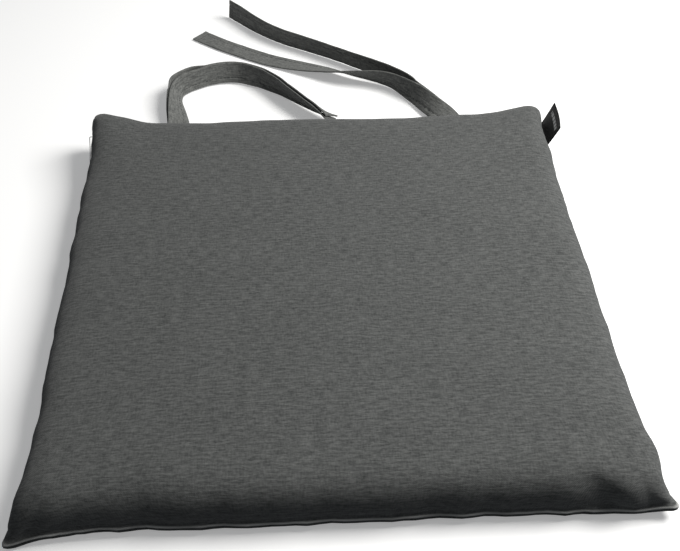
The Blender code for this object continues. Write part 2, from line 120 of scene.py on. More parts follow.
def put_mix(tree, factor, low, high):
    """A colour Mix node. low and high are colours or (node, socket) pairs."""
    node = tree.nodes.new("ShaderNodeMix")
    node.data_type = "RGBA"
    tree.links.new(factor[0].outputs[factor[1]], node.inputs["Factor"])
    for slot, value in (("A", low), ("B", high)):
        socket = next(s for s in node.inputs if s.name == slot and s.type == "RGBA")
        if isinstance(value[0], bpy.types.Node):
            tree.links.new(value[0].outputs[value[1]], socket)
        else:
            socket.default_value = (*value, 1.0)
    return node


def mix_result(node):
    return next(i for i, s in enumerate(node.outputs) if s.type == "RGBA")


def put_range(tree, value, low, high, to_low=0.0, to_high=1.0):
    node = tree.nodes.new("ShaderNodeMapRange")
    tree.links.new(value[0].outputs[value[1]], node.inputs["Value"])
    node.inputs["From Min"].default_value = low
    node.inputs["From Max"].default_value = high
    node.inputs["To Min"].default_value = to_low
    node.inputs["To Max"].default_value = to_high
    return node


YARN_PITCH = 0.00052
# Painted highlight: the pale colour laid on the seam's folded lip, standing in for the light that lip
# catches.
PAINTED_HIGHLIGHT_YARN = (0.62, 0.62, 0.60)
canvas, canvas_in, canvas_out = new_group(
    "melange_canvas",
    [
        ("NodeSocketVector", "Place"),
        ("NodeSocketColor", "Dark Yarn"),
        ("NodeSocketColor", "Pale Yarn"),
    ],
    [
        ("NodeSocketColor", "Color"),
        ("NodeSocketFloat", "Roughness"),
        ("NodeSocketFloat", "Height"),
    ],
)
place = (canvas_in, "Place")
long_slubs = put_noise(canvas, place, (120.0, 620.0, 1.0), 2.0, 0.6)
short_slubs = put_noise(canvas, place, (420.0, 1300.0, 1.0), 1.0, 0.5)
warp_flecks = put_noise(canvas, place, (900.0, 210.0, 1.0), 1.0, 0.5)
shade_patches = put_noise(canvas, place, (14.0, 30.0, 1.0), 3.0, 0.6)
slub_mask = put_range(canvas, (long_slubs, 0), 0.36, 0.68)
fleck_mask = put_range(canvas, (short_slubs, 0), 0.34, 0.70)
warp_mask = put_range(canvas, (warp_flecks, 0), 0.34, 0.70)
patch_mask = put_range(canvas, (shade_patches, 0), 0.25, 0.75)
flecks = put_math(canvas, "MULTIPLY_ADD", (fleck_mask, 0), 0.26, 0.0)
flecks = put_math(canvas, "MULTIPLY_ADD", (slub_mask, 0), 0.44, (flecks, 0))
flecks = put_math(canvas, "MULTIPLY_ADD", (warp_mask, 0), 0.22, (flecks, 0))
flecks = put_math(canvas, "MULTIPLY_ADD", (patch_mask, 0), 0.12, (flecks, 0))
tone = put_mix(canvas, (flecks, 0), (0, 0, 0), (1, 1, 1))
for socket_name, slot_name in (("Dark Yarn", "A"), ("Pale Yarn", "B")):
    socket = next(s for s in tone.inputs if s.name == slot_name and s.type == "RGBA")
    canvas.links.new(canvas_in.outputs[socket_name], socket)
wire(canvas, tone, canvas_out, "Color", mix_result(tone))

cloth_axes = canvas.nodes.new("ShaderNodeSeparateXYZ")
wire(canvas, canvas_in, cloth_axes, 0, "Place")
weft = put_math(canvas, "MULTIPLY", (cloth_axes, 0), math.pi / YARN_PITCH)
warp = put_math(canvas, "MULTIPLY", (cloth_axes, 1), math.pi / YARN_PITCH)
over_under = put_math(
    canvas,
    "MULTIPLY",
    (put_math(canvas, "SINE", (weft, 0)), 0),
    (put_math(canvas, "SINE", (warp, 0)), 0),
)
relief = put_math(canvas, "MULTIPLY_ADD", (over_under, 0), 0.30, 0.40)
relief = put_math(canvas, "MULTIPLY_ADD", (slub_mask, 0), 0.45, (relief, 0))
relief = put_math(canvas, "MULTIPLY_ADD", (fleck_mask, 0), 0.20, (relief, 0))
wire(canvas, relief, canvas_out, "Height")
dullness = put_math(canvas, "MULTIPLY_ADD", (slub_mask, 0), -0.10, 0.94)
wire(canvas, dullness, canvas_out, "Roughness")


def new_material(name, **constants):
    """A material whose Principled shader has these constants, and its tree and shader."""
    material = bpy.data.materials.new(name)
    material.use_nodes = True
    tree = material.node_tree
    shader = next(n for n in tree.nodes if n.type == "BSDF_PRINCIPLED")
    for label, value in constants.items():
        shader.inputs[label.replace("_", " ")].default_value = value
    return material, tree, shader


def put_bump(tree, shader, height, distance, strength=1.0):
    bump = tree.nodes.new("ShaderNodeBump")
    bump.inputs["Distance"].default_value = distance
    bump.inputs["Strength"].default_value = strength
    tree.links.new(height[0].outputs[height[1]], bump.inputs["Height"])
    wire(tree, bump, shader, "Normal")


def canvas_material(name, dark_yarn, pale_yarn):
    """Canvas that lies by each mesh's own "cloth" places: x along the weft, y along the warp.
    The third number there is how much painted highlight, a pale colour standing in for light the cloth
    catches, is laid on, from 0 to 1."""
    material, tree, shader = new_material(
        name, Sheen_Weight=0.22, Sheen_Roughness=0.45, Specular_IOR_Level=0.25
    )
    cloth = tree.nodes.new("ShaderNodeAttribute")
    cloth.attribute_name = "cloth"
    woven = tree.nodes.new("ShaderNodeGroup")
    woven.node_tree = canvas
    woven.inputs["Dark Yarn"].default_value = (*dark_yarn, 1.0)
    woven.inputs["Pale Yarn"].default_value = (*pale_yarn, 1.0)
    wire(tree, cloth, woven, "Place", "Vector")
    # The third cloth number mixes in the painted highlight colour.
    wear_and_painted_highlight = tree.nodes.new("ShaderNodeSeparateXYZ")
    wire(tree, cloth, wear_and_painted_highlight, 0, "Vector")
    shown = put_mix(tree, (wear_and_painted_highlight, 2), (0, 0, 0), PAINTED_HIGHLIGHT_YARN)
    first_color = next(i for i in shown.inputs if i.name == "A" and i.type == "RGBA")
    tree.links.new(woven.outputs["Color"], first_color)
    wire(tree, shown, shader, "Base Color", mix_result(shown))
    wire(tree, woven, shader, "Roughness", "Roughness")
    put_bump(tree, shader, (woven, "Height"), 0.00022, 0.8)
    return material


# ---- Sewing thread ----
# Spun polyester, about half a millimetre thick, in the cloth's own dark grey.
# It runs inside the seam as one line, and shows as single stitches on the ties.
thread_grey, thread_tree, thread_shader = new_material(
    "sewing_thread", Sheen_Weight=0.15, Specular_IOR_Level=0.35
)
thread_place = thread_tree.nodes.new("ShaderNodeTexCoord")
twist = put_noise(thread_tree, (thread_place, "Object"), (2600.0, 2600.0, 2600.0), 1.0)
twist_tone = put_mix(thread_tree, (twist, 0), (0.020, 0.021, 0.022), (0.050, 0.052, 0.052))
wire(thread_tree, twist_tone, thread_shader, "Base Color", mix_result(twist_tone))
twist_shine = put_range(thread_tree, (twist, 0), 0.3, 0.7, 0.62, 0.80)
wire(thread_tree, twist_shine, thread_shader, "Roughness")
put_bump(thread_tree, thread_shader, (twist, 0), 0.0001, 0.6)
seam_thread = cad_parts["seam_thread"]
seam_thread.data.materials.clear()
seam_thread.data.materials.append(thread_grey)

# ---- Ties ----
# Each corner post of the chair takes a pair of straps, sewn into the rear seam 250 mm apart.
# A strap is a strip of the canvas folded in on itself to 20 mm, closed by one row of stitches
# 5 mm from an edge and hemmed at its end. They lie loose behind the pad, where they fell.
PAD_WIDTH = 0.410
SIDE_DRAW = 0.0085
END_DRAW = 0.0050
SEAM_HEIGHT = 0.007
GAP = 0.0003
TIE_SPACING = 0.250
TIE_WIDTH = 0.020
TIE_THICKNESS = 0.0018
TIE_STACK = TIE_THICKNESS + 0.0011
TIE_STEP = 0.0040
STITCH_LENGTH = 0.0030
STITCH_PITCH = 0.0036
STITCH_RADIUS = 0.00026
STITCH_INSET = 0.0052
HEM_LENGTH = 0.0055

# Right and back from the root, lean in degrees, and lift above the height at which it rests.
# Lean 0 lies flat, 90 stands on edge with its upper face turned right, -90 turned left.
LEFT_FRONT_WAY = (
    (0.000, 0.0007, 0, 0.0045), (0.000, 0.0080, 0, 0.0045), (-0.0005, 0.018, 6, 0.0035),
    (-0.002, 0.034, 21, 0.0010), (-0.004, 0.049, 37, 0.0), (-0.0055, 0.062, 52, 0.0),
    (-0.006, 0.074, 65, 0.0), (-0.0035, 0.0845, 74, 0.0), (0.003, 0.0925, 77, 0.0),
    (0.012, 0.0985, 80, 0.0), (0.022, 0.1040, 79, 0.0), (0.034, 0.1080, 74, 0.0),
    (0.045, 0.1090, 70, 0.0), (0.055, 0.1070, 70, 0.0), (0.064, 0.1023, 74, 0.0),
    (0.0735, 0.0966, 81, 0.0), (0.082, 0.0898, 89, 0.0), (0.0905, 0.0812, 98, 0.0),
    (0.0985, 0.0712, 106, 0.0), (0.107, 0.0606, 113, 0.0), (0.117, 0.0490, 121, 0.0),
    (0.128, 0.0375, 132, 0.0), (0.1375, 0.0285, 149, 0.0),
)
LEFT_BACK_WAY = (
    (-0.0095, 0.0880, 76, 0.0), (-0.002, 0.0978, 79, 0.0), (0.008, 0.1050, 81, 0.0),
)
RIGHT_FRONT_WAY = (
    (0.000, 0.0007, 0, 0.0045), (0.000, 0.0080, 0, 0.0045), (-0.001, 0.0160, -6, 0.0038),
    (-0.006, 0.028, -22, 0.0012), (-0.014, 0.039, -38, 0.0), (-0.022, 0.050, -52, 0.0),
    (-0.0295, 0.061, -66, 0.0), (-0.037, 0.0710, -80, 0.0), (-0.044, 0.0800, -92, 0.0),
    (-0.0515, 0.0868, -103, 0.0), (-0.061, 0.0925, -112, 0.0), (-0.0735, 0.0973, -124, 0.0),
    (-0.086, 0.1015, -135, 0.0), (-0.0975, 0.1068, -147, 0.0), (-0.1085, 0.1130, -158, -0.0005),
    (-0.122, 0.1208, -167, -0.0010), (-0.138, 0.1292, -174, -0.0018),
    (-0.153, 0.1372, -178, -0.0025), (-0.168, 0.1455, -180, -0.0029),
    (-0.183, 0.1546, -180, -0.0029), (-0.198, 0.1647, -180, -0.0029),
    (-0.2135, 0.1755, -180, -0.0029), (-0.229, 0.1880, -180, -0.0029),
    (-0.241, 0.1985, -180, -0.0029),
)
RIGHT_BACK_WAY = (
    (-0.0285, 0.0660, -76, 0.0), (-0.033, 0.0770, -83, 0.0), (-0.0395, 0.0870, -88, 0.0),
    (-0.0495, 0.0985, -94, 0.0), (-0.0625, 0.1100, -99, 0.0), (-0.079, 0.1228, -103, 0.0),
    (-0.101, 0.1391, -105, 0.0), (-0.1185, 0.1518, -104, 0.0), (-0.136, 0.1634, -102, 0.0),
    (-0.154, 0.1755, -100, 0.0), (-0.172, 0.1915, -96, 0.0), (-0.187, 0.2085, -89, 0.0),
    (-0.200, 0.2250, -84, 0.0), (-0.210, 0.2370, -84, 0.0),
)
# The ties' yarns are given paler colours than the cover's, though both are one canvas: painted light
# for the extra light the straps catch.
tie_canvas = canvas_material("tie_canvas", (0.050, 0.053, 0.052), (0.235, 0.240, 0.228))


def seam_edge(along, draw):
    """How far out the seam lies on one side, at a distance along that side from its middle."""
    share = min(abs(along) / (PAD_WIDTH / 2), 1)
    return PAD_WIDTH / 2 - draw * (1 - share**4)


def resting_height(lean, layers):
    upright, flat = abs(math.sin(math.radians(lean))), abs(math.cos(math.radians(lean)))
    return 2 * GAP + TIE_WIDTH / 2 * upright + (TIE_THICKNESS / 2 + TIE_STACK * layers) * flat


def way_points(way, root, layers):
    return [
        Vector((root.x + right, root.y + back, resting_height(lean, layers) + lift, lean))
        for right, back, lean, lift in way
    ]


def smooth_way(points, before=None, after=None):
    """Points every TIE_STEP or so on a curve through the given ones, each x, y, z and lean,
    and the place of each given point among them."""
    before = before or 2 * points[0] - points[1]
    after = after or 2 * points[-1] - points[-2]
    ends = [before, *points, after]
    curve = []
    marks = []
    for a, b, c, d in zip(ends, ends[1:], ends[2:], ends[3:]):
        steps = max(2, round((c - b).to_3d().length / TIE_STEP))
        marks.append(len(curve))
        for step in range(steps):
            t = step / steps
            bend = (2 * a - 5 * b + 4 * c - d) * t**2 + (3 * b - a - 3 * c + d) * t**3
            curve.append(0.5 * (2 * b + (c - a) * t + bend))
    marks.append(len(curve))
    return [*curve, points[-1].copy()], marks


def strap_frames(points):
    """(middle, direction across the width, face normal) at each point."""
    frames = []
    last = len(points) - 1
    for i, point in enumerate(points):
        along = (points[min(i + 1, last)] - points[max(i - 1, 0)]).to_3d().normalized()
        left = Vector((-along.y, along.x, 0.0)).normalized()
        lean = math.radians(point.w)
        up = along.cross(left) * -1
        up = up if up.z > 0 else -up
        across = math.cos(lean) * left + math.sin(lean) * up
        frames.append((point.to_3d(), across, along.cross(across).normalized()))
    return frames


def under_strap(points):
    """The way of a second strap that lies against the lower face of one that follows points."""
    return [
        Vector((*(middle - normal * TIE_STACK), point.w))
        for point, (middle, _, normal) in zip(points, strap_frames(points))
    ]


def strap_ways(front_way, back_way, root, leave, join):
    """The front and the back strap's points. The back one follows the front one before and
    after its own points."""
    front, marks = smooth_way(way_points(front_way, root, 1))
    under = under_strap(front)
    own = [under[marks[leave]], *way_points(back_way, root, 0)]
    before = under[marks[leave - 1]]
    if join is None:
        own, _ = smooth_way(own, before)
        return front, under[: marks[leave]] + own
    own, _ = smooth_way([*own, under[marks[join]]], before, under[marks[join + 1]])
    return front, under[: marks[leave]] + own + under[marks[join] + 1 :]


def link_mesh(name, bm, material, smooth=True):
    """A new object from a mesh given in its place, which is closed and faces out."""
    bmesh.ops.recalc_face_normals(bm, faces=bm.faces)
    mesh = bpy.data.meshes.new(name)
    bm.to_mesh(mesh)
    bm.free()
    mesh.materials.append(material)
    if smooth:
        mesh.shade_smooth()
    obj = bpy.data.objects.new(name, mesh)
    bpy.context.scene.collection.objects.link(obj)
    return obj


def finer(points, parts=2):
    """The same way with each step cut into parts."""
    made = []
    ends = [points[0], *points, points[-1]]
    for a, b, c, d in zip(ends, ends[1:], ends[2:], ends[3:]):
        for part in range(parts):
            t = part / parts
            bend = (2 * a - 5 * b + 4 * c - d) * t**2 + (3 * b - a - 3 * c + d) * t**3
            made.append(0.5 * (2 * b + (c - a) * t + bend))
    return [*made, points[-1].copy()]


def half_thickness(across, from_end, row):
    """Half the strap's thickness: full at the turned-in edges, drawn in along the stitches."""
    half = TIE_WIDTH / 2
    edge = max(0.0, 1 - ((abs(across) - half + 0.0011) / 0.0011) ** 2) ** 0.5
    rounding = edge if abs(across) > half - 0.0011 else 1.0
    drawn = math.exp(-(((across - row) / 0.0009) ** 2))
    hem = math.exp(-(((from_end - HEM_LENGTH) / 0.0009) ** 2))
    hollow = 1 - 0.16 * math.cos(math.pi * across / half / 2)
    inner = 1 - 0.42 * max(drawn, hem)
    return TIE_THICKNESS / 2 * max(0.10, rounding * inner * hollow)


def make_strap(name, points, stitch_side):
    """One strap as a closed mesh, with its cloth places, and its stitches as another."""
    frames = strap_frames(finer(points))
    run = [0.0]
    for (a, _, _), (b, _, _) in zip(frames, frames[1:]):
        run.append(run[-1] + (b - a).length)
    length = run[-1]
    row = stitch_side * (TIE_WIDTH / 2 - STITCH_INSET)
    half = TIE_WIDTH / 2
    edge_in = [half, half - 0.00015, half - 0.0005, half - 0.0011, half - 0.0022, half - 0.0033]
    near_row = [abs(row) + d for d in (0.0010, 0.0004, 0.0, -0.0004, -0.0010)]
    across = edge_in[:-1] + near_row + [0.0024, 0.0]
    across += [-a for a in reversed(across[:-1])]
    bm = bmesh.new()
    cloth = bm.verts.layers.float_vector.new("cloth")
    rings = []
    for (middle, wide, normal), along in zip(frames, run):
        sway = 0.00035 * noise.noise(Vector((along * 90, 3.1 * len(name), 0.0)))
        ring = []
        for face in (1, -1):
            inside = across if face == 1 else across[-2:0:-1]
            for a in inside:
                cockle = 0.00016 * noise.noise(Vector((along * 260, a * 120, 7.0 * face)))
                thick = half_thickness(a, length - along, row)
                co = middle + wide * a + normal * (face * thick + (sway + cockle) * 0.7)
                vert = bm.verts.new(co)
                vert[cloth] = Vector((along, a + 0.05 * face, 0.0))
                ring.append(vert)
        rings.append(ring)
    for low, high in zip(rings, rings[1:]):
        for i in range(len(low)):
            j = (i + 1) % len(low)
            bm.faces.new((low[i], low[j], high[j], high[i]))
    bm.faces.new(rings[0])
    bm.faces.new(rings[-1])
    strap = link_mesh(name, bm, tie_canvas)
    strap.data.set_sharp_from_angle(angle=math.radians(60))

    def stitch_spots():
        steps = int((length - HEM_LENGTH - 0.004) / STITCH_PITCH)
        for step in range(1, steps):
            yield step * STITCH_PITCH, row, False
        for step in range(int((TIE_WIDTH - 0.002) / STITCH_PITCH)):
            yield length - HEM_LENGTH, -half + 0.0026 + step * STITCH_PITCH, True

    bm = bmesh.new()
    for along, a, crosswise in stitch_spots():
        i = min(range(len(run)), key=lambda k: abs(run[k] - along))
        middle, wide, normal = frames[i]
        ahead_here = normal.cross(wide).normalized()
        lie = wide if crosswise else ahead_here
        for face in (1, -1):
            thick = half_thickness(a, length - along, row)
            centre = middle + ahead_here * (run[i] - along) * -1 + wide * a
            centre += normal * face * (thick + 0.00004)
            side = lie.cross(normal)
            rings = []
            for share, size in ((-0.5, 0.25), (-0.36, 0.9), (0.0, 1.0), (0.36, 0.9), (0.5, 0.25)):
                spot = centre + lie * share * STITCH_LENGTH
                spot -= normal * face * (abs(share) ** 2) * 0.0007
                ring = []
                for turn in range(5):
                    angle = turn * math.tau / 5
                    out = side * math.cos(angle) + normal * math.sin(angle)
                    ring.append(bm.verts.new(spot + out * STITCH_RADIUS * size))
                rings.append(ring)
            for low, high in zip(rings, rings[1:]):
                for i5 in range(5):
                    j5 = (i5 + 1) % 5
                    bm.faces.new((low[i5], low[j5], high[j5], high[i5]))
            bm.faces.new(rings[0])
            bm.faces.new(rings[-1])
    stitches = link_mesh(name.replace("strap", "stitches"), bm, thread_grey)
    return strap, stitches, length


for side, sign, front_way, back_way, leave, join, rows in (
    ("left", -1, LEFT_FRONT_WAY, LEFT_BACK_WAY, 6, 10, (-1, -1)),
    ("right", 1, RIGHT_FRONT_WAY, RIGHT_BACK_WAY, 4, None, (1, -1)),
):
    root_x = sign * TIE_SPACING / 2
    root = Vector((root_x, seam_edge(TIE_SPACING / 2 + TIE_WIDTH / 2, END_DRAW), 0.0))
    ways = strap_ways(front_way, back_way, root, leave, join)
    for layer, points, stitch_side in zip(("front", "back"), ways, rows):
        strap, stitches, length = make_strap(f"{side}_{layer}_strap", points, stitch_side)
        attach(strap, f"tie_{side}")
        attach(stitches, f"tie_{side}")
        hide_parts(f"tie_{side}_{layer}_strap")

# ---- Cover ----
# Two squares of the canvas, sewn face to face low down and turned out over a 40 mm foam slab.
# The foam pushes the upper one out flat with rolled edges, and its corners stay as small flat
# ears. The rear seam is left open between its folded edges for the zip.
CLOTH = 0.0009
REAR_CURL = {-1: 0.0115, 1: 0.0065}
CURL_WIDTH = 0.068
CURL_DEPTH = 0.105
CORNER_FADE = 0.012
# How far the left and right flanks near the front are drawn in, and the front's left part.
FLANK_PULL = (0.0028, 0.0016)
FRONT_PULL = 0.0030
FRONT_PULL_AT = 0.148
FRONT_PULL_WIDTH = 0.042
# How far the left and right rear corners are drawn in, and how far back that begins.
CORNER_PULL = ((0.0056, 0.095), (0.0042, 0.135))
CORNER_PULL_FADE = 0.026
REAR_CORNER_SHARE = 0.36
SIDE_COLUMNS = 72
CORNER_GATHER = 0.55
# Painted highlight: these rows are given a pale colour standing in for the light caught on the seam's
# lip.
PAINTED_HIGHLIGHT_ROWS = (1, 2)  # the rows of the upper panel that lie on the seam's folded edge
ZIP_HALF_OPENING = 0.0032
ZIP_HALF_LENGTH = 0.1026
# From the seam to the crown: inset, height, corner radius, and rows up to the next line.
TOP_LINES = (
    (0.0010, 0.00716, 0.0026, 1),
    (-0.0006, 0.00770, 0.0028, 1),
    (-0.0002, 0.00850, 0.0034, 2),
    (0.0012, 0.01030, 0.0070, 3),
    (0.0006, 0.01490, 0.0130, 4),
    (0.0008, 0.02020, 0.0185, 4),
    (0.0022, 0.02600, 0.0235, 4),
    (0.0056, 0.03120, 0.0275, 3),
    (0.0105, 0.03480, 0.0310, 4),
    (0.0200, 0.03740, 0.0360, 6),
    (0.0450, 0.03900, 0.0430, 8),
    (0.0900, 0.03990, 0.0500, 1),
)
BOTTOM_LINES = (
    (0.0010, 0.00684, 0.0026, 1),
    (-0.0004, 0.00600, 0.0026, 2),
    (0.0004, 0.00400, 0.0035, 2),
    (0.0032, 0.00180, 0.0050, 3),
    (0.0090, 0.00050, 0.0080, 3),
    (0.0200, 0.00030, 0.0120, 5),
    (0.0900, 0.00030, 0.0200, 1),
)


def along_lines(lines):
    """Rows through the given lines on a smooth curve: inset, height, corner radius."""
    ends = [lines[0], *lines, lines[-1]]
    rows = []
    for a, b, c, d in zip(ends, ends[1:], ends[2:], ends[3:]):
        a, b, c, d, parts = Vector(a[:3]), Vector(b[:3]), Vector(c[:3]), Vector(d[:3]), b[3]
        for part in range(parts):
            t = part / parts
            bend = (2 * a - 5 * b + 4 * c - d) * t**2 + (3 * b - a - 3 * c + d) * t**3
            rows.append(0.5 * (2 * b + (c - a) * t + bend))
    return [*rows, Vector(lines[-1][:3])]


def side_shares():
    """Places along a side from corner to corner, -1 to 1, closer together near the corners."""
    shares = []
    for column in range(SIDE_COLUMNS):
        even = 2 * column / SIDE_COLUMNS - 1
        shares.append(even + CORNER_GATHER * (math.sin(math.pi / 2 * even) - even))
    return shares


def square_ring(half, corner):
    """A rounded square's points as (x, y, side, distance along that side from its middle)."""
    ring = []
    for side in range(4):
        for share in side_shares():
            at_rear = side == 1 or (side == 0 and share > 0) or (side == 2 and share < 0)
            radius = corner * (REAR_CORNER_SHARE if at_rear else 1.0)
            straight = half - radius
            run = share * (straight + radius * math.pi / 4)
            along, out = run, half
            if abs(run) > straight:
                angle = (abs(run) - straight) / radius
                along = math.copysign(straight + radius * math.sin(angle), run)
                out = straight + radius * math.cos(angle)
            x, y = ((out, along), (-along, out), (-out, -along), (along, -out))[side]
            ring.append((x, y, side, run))
    return ring


def drawn_in(x, y, half):
    """The same place with the sides drawn in between the corners."""
    scale_x = 1 - SIDE_DRAW / (PAD_WIDTH / 2) * (1 - min(abs(y) / half, 1) ** 4)
    scale_y = 1 - END_DRAW / (PAD_WIDTH / 2) * (1 - min(abs(x) / half, 1) ** 4)
    return x * scale_x, y * scale_y


def smooth_step(value, low, high):
    share = min(max((value - low) / (high - low), 0.0), 1.0)
    return share * share * (3 - 2 * share)


def rear_curl(x, y):
    """How far the rear corners are curled up off the seat at one place."""
    across = smooth_step(abs(x), PAD_WIDTH / 2 - CURL_WIDTH, PAD_WIDTH / 2)
    back = smooth_step(y, PAD_WIDTH / 2 - CURL_DEPTH, PAD_WIDTH / 2)
    return REAR_CURL[-1 if x < 0 else 1] * across * back


def front_pull(x, y):
    """How far the front half is drawn in: the flanks near the front, and the front's left part."""
    across = smooth_step(abs(x), PAD_WIDTH / 2 - CURL_WIDTH, PAD_WIDTH / 2 - CORNER_FADE)
    flank = smooth_step(-y, 0.075, 0.140) * (1 - 0.5 * smooth_step(-y, 0.170, PAD_WIDTH / 2))
    left = math.exp(-(((x + FRONT_PULL_AT) / FRONT_PULL_WIDTH) ** 2)) * smooth_step(-y, 0.150, 0.190)
    inward = -math.copysign(FLANK_PULL[0 if x < 0 else 1], x)
    return Vector((inward * across * flank, FRONT_PULL * left, 0.0))


def corner_pull(x, y):
    """How far a rear corner is drawn in towards the middle at one place."""
    across = smooth_step(abs(x), PAD_WIDTH / 2 - CURL_WIDTH, PAD_WIDTH / 2 - CORNER_FADE)
    pull, from_y = CORNER_PULL[0 if x < 0 else 1]
    return -math.copysign(pull, x) * across * smooth_step(y, from_y, PAD_WIDTH / 2 - CORNER_PULL_FADE)


def cover_panel(lines, rises):
    """A panel's points from the seam to its middle, its faces, and its cloth places."""
    rows = along_lines(lines)
    places, cloth, faces = [], [], []
    run = 0.0
    runs = [0.0]
    for low, high in zip(rows, rows[1:]):
        run += math.hypot(high.x - low.x, high.y - low.y)
        runs.append(run)
    inner_half = PAD_WIDTH / 2 - rows[-1].x
    count = 4 * SIDE_COLUMNS
    for row, (inset, height, corner) in enumerate(rows):
        half = PAD_WIDTH / 2 - inset
        spread = (inner_half + run - runs[row]) / half
        for x, y, side, along in square_ring(half, corner):
            places.append(Vector((*drawn_in(x, y, half), height)))
            patchy = noise.noise(Vector((x * 70, y * 70, 4.0)))
            # On those rows the upper panel gets a patchy painted highlight.
            wear_and_painted_highlight = 0.62 + 0.5 * patchy if rises and row in PAINTED_HIGHLIGHT_ROWS else 0.0
            cloth.append(Vector((x * spread, y * spread, min(max(wear_and_painted_highlight, 0.0), 1.0))))
    for row in range(len(rows) - 1):
        for i in range(count):
            j = (i + 1) % count
            base = row * count
            faces.append((base + i, base + j, base + count + j, base + count + i))
    last = (len(rows) - 1) * count
    n = SIDE_COLUMNS
    shares = [*side_shares(), 1.0]
    index = {}
    for i in range(n + 1):
        index[i, n] = last + n + (n - i)
        index[i, 0] = last + (3 * n + i) % count
        index[n, i] = last + i
        index[0, i] = last + 2 * n + (n - i)
    # The crown inside the last ring is a grid stretched between that ring's four sides.
    for i in range(1, n):
        for j in range(1, n):
            u, v = (shares[i] + 1) / 2, (shares[j] + 1) / 2
            index[i, j] = len(places)
            for known in (places, cloth):
                west, east = known[index[0, j]], known[index[n, j]]
                south, north = known[index[i, 0]], known[index[i, n]]
                corners = (1 - v) * ((1 - u) * known[index[0, 0]] + u * known[index[n, 0]])
                corners += v * ((1 - u) * known[index[0, n]] + u * known[index[n, n]])
                ruled = (1 - u) * west + u * east + (1 - v) * south + v * north
                known.append(ruled - corners)
    for i in range(n):
        for j in range(n):
            faces.append((index[i, j], index[i + 1, j], index[i + 1, j + 1], index[i, j + 1]))
    if not rises:
        faces = [face[::-1] for face in faces]
    return places, faces, cloth


# At the two front corners: how far the seam's tip stands out right, forward and up, then the
# folds beside it, each (along the side from the corner, how far it bulges, half its width).
FRONT_CORNERS = (
    (
        Vector((-0.0026, -0.0010, -0.0028)),
        ((0.012, -0.0016, 0.005), (0.034, -0.0010, 0.009)),
        ((0.016, -0.0012, 0.007),),
    ),
    (
        Vector((0.0026, 0.0014, 0.0024)),
        ((0.011, -0.0016, 0.004), (0.024, 0.0014, 0.006), (0.041, -0.0026, 0.008)),
        ((0.010, -0.0016, 0.006), (0.026, 0.0008, 0.008)),
    ),
)
EAR_REACH = 0.024
FOLD_TOP = 0.036
FLOOR_CLEARANCE = 0.0003
# Where the zip's pull parks when it is open, the lips lie flat and this much further in:
# the room rises over the first two distances along the rear and falls over the last two.
PULL_ROOM = 0.0010
PULL_PARKS = (-0.130, -0.118, -0.099, -0.090)


def corner_fold(x, y, z, out):
    """How far a point near a front corner is moved by the corner's ear and the folds beside it."""
    if y > 0:
        return Vector((0.0, 0.0, 0.0))
    tip, front_folds, side_folds = FRONT_CORNERS[0 if x < 0 else 1]
    to_x, to_y = PAD_WIDTH / 2 - abs(x), PAD_WIDTH / 2 - abs(y)
    from_tip = math.hypot(to_x, to_y)
    low = 1 - smooth_step(z, SEAM_HEIGHT + 0.001, SEAM_HEIGHT + 0.016)
    moved = tip * (1 - smooth_step(from_tip, 0.001, EAR_REACH)) * low
    on_wall = smooth_step(z, SEAM_HEIGHT, 0.014) * (1 - smooth_step(z, 0.030, FOLD_TOP + 0.004))
    near, along, folds = (to_y, to_x, front_folds) if to_y < to_x else (to_x, to_y, side_folds)
    wall = 1 - smooth_step(near, 0.006, 0.022)
    for spot, bulge, half_width in folds:
        lean = (z - SEAM_HEIGHT) * 0.5
        moved += out * bulge * on_wall * wall * math.exp(-(((along - spot - lean) / half_width) ** 2))
    return moved


def softened(co):
    """The same point with puckers, dents, curled and drawn-in corners, folds, and the pull's room."""
    x, y, z = co
    to_x, to_y = PAD_WIDTH / 2 - abs(x), PAD_WIDTH / 2 - abs(y)
    near = min(to_x, to_y)
    on_side = to_x < to_y
    along = y if on_side else x
    out = Vector((math.copysign(1, x), 0, 0)) if on_side else Vector((0, math.copysign(1, y), 0))
    seed = 11.0 if on_side else 37.0
    seed += math.copysign(5.0, x if on_side else y)
    wall = 1 - smooth_step(near, 0.004, 0.030)
    low = 1 - smooth_step(z, 0.012, 0.036)
    moved = Vector(co)
    folds = noise.noise(Vector((along * 62, z * 16, seed)))
    small = noise.noise(Vector((along * 150, z * 28, seed + 3)))
    calm = 0.0
    if y > 0 and not on_side:
        rise_from, rise_to, fall_from, fall_to = PULL_PARKS
        calm = smooth_step(x, rise_from, rise_to) * (1 - smooth_step(x, fall_from, fall_to))
        calm *= 1 - smooth_step(z, 0.014, 0.020)
    moved += out * wall * (1 - calm) * (0.0014 * folds + 0.0007 * low * small)
    moved -= out * calm * PULL_ROOM * (1 - smooth_step(near, 0.003, 0.010))
    if z > SEAM_HEIGHT:
        rim = 1 - smooth_step(near, 0.012, 0.065)
        dents = noise.noise(Vector((x * 17, y * 17, 2.0)))
        swell = noise.noise(Vector((x * 8, y * 8, 9.0)))
        lift = smooth_step(z, 0.012, 0.034)
        moved.z += lift * (0.0016 * rim * dents + 0.0007 * swell)
    moved.z += rear_curl(x, y)
    moved.x += corner_pull(x, y)
    moved += front_pull(x, y)
    moved += corner_fold(x, y, z, out)
    moved.z = max(moved.z, FLOOR_CLEARANCE)
    return moved


top_places, top_faces, top_cloth = cover_panel(TOP_LINES, True)
bottom_places, bottom_faces, bottom_cloth = cover_panel(BOTTOM_LINES, False)
cover_canvas = canvas_material("cover_canvas", (0.032, 0.0345, 0.0342), (0.146, 0.150, 0.146))


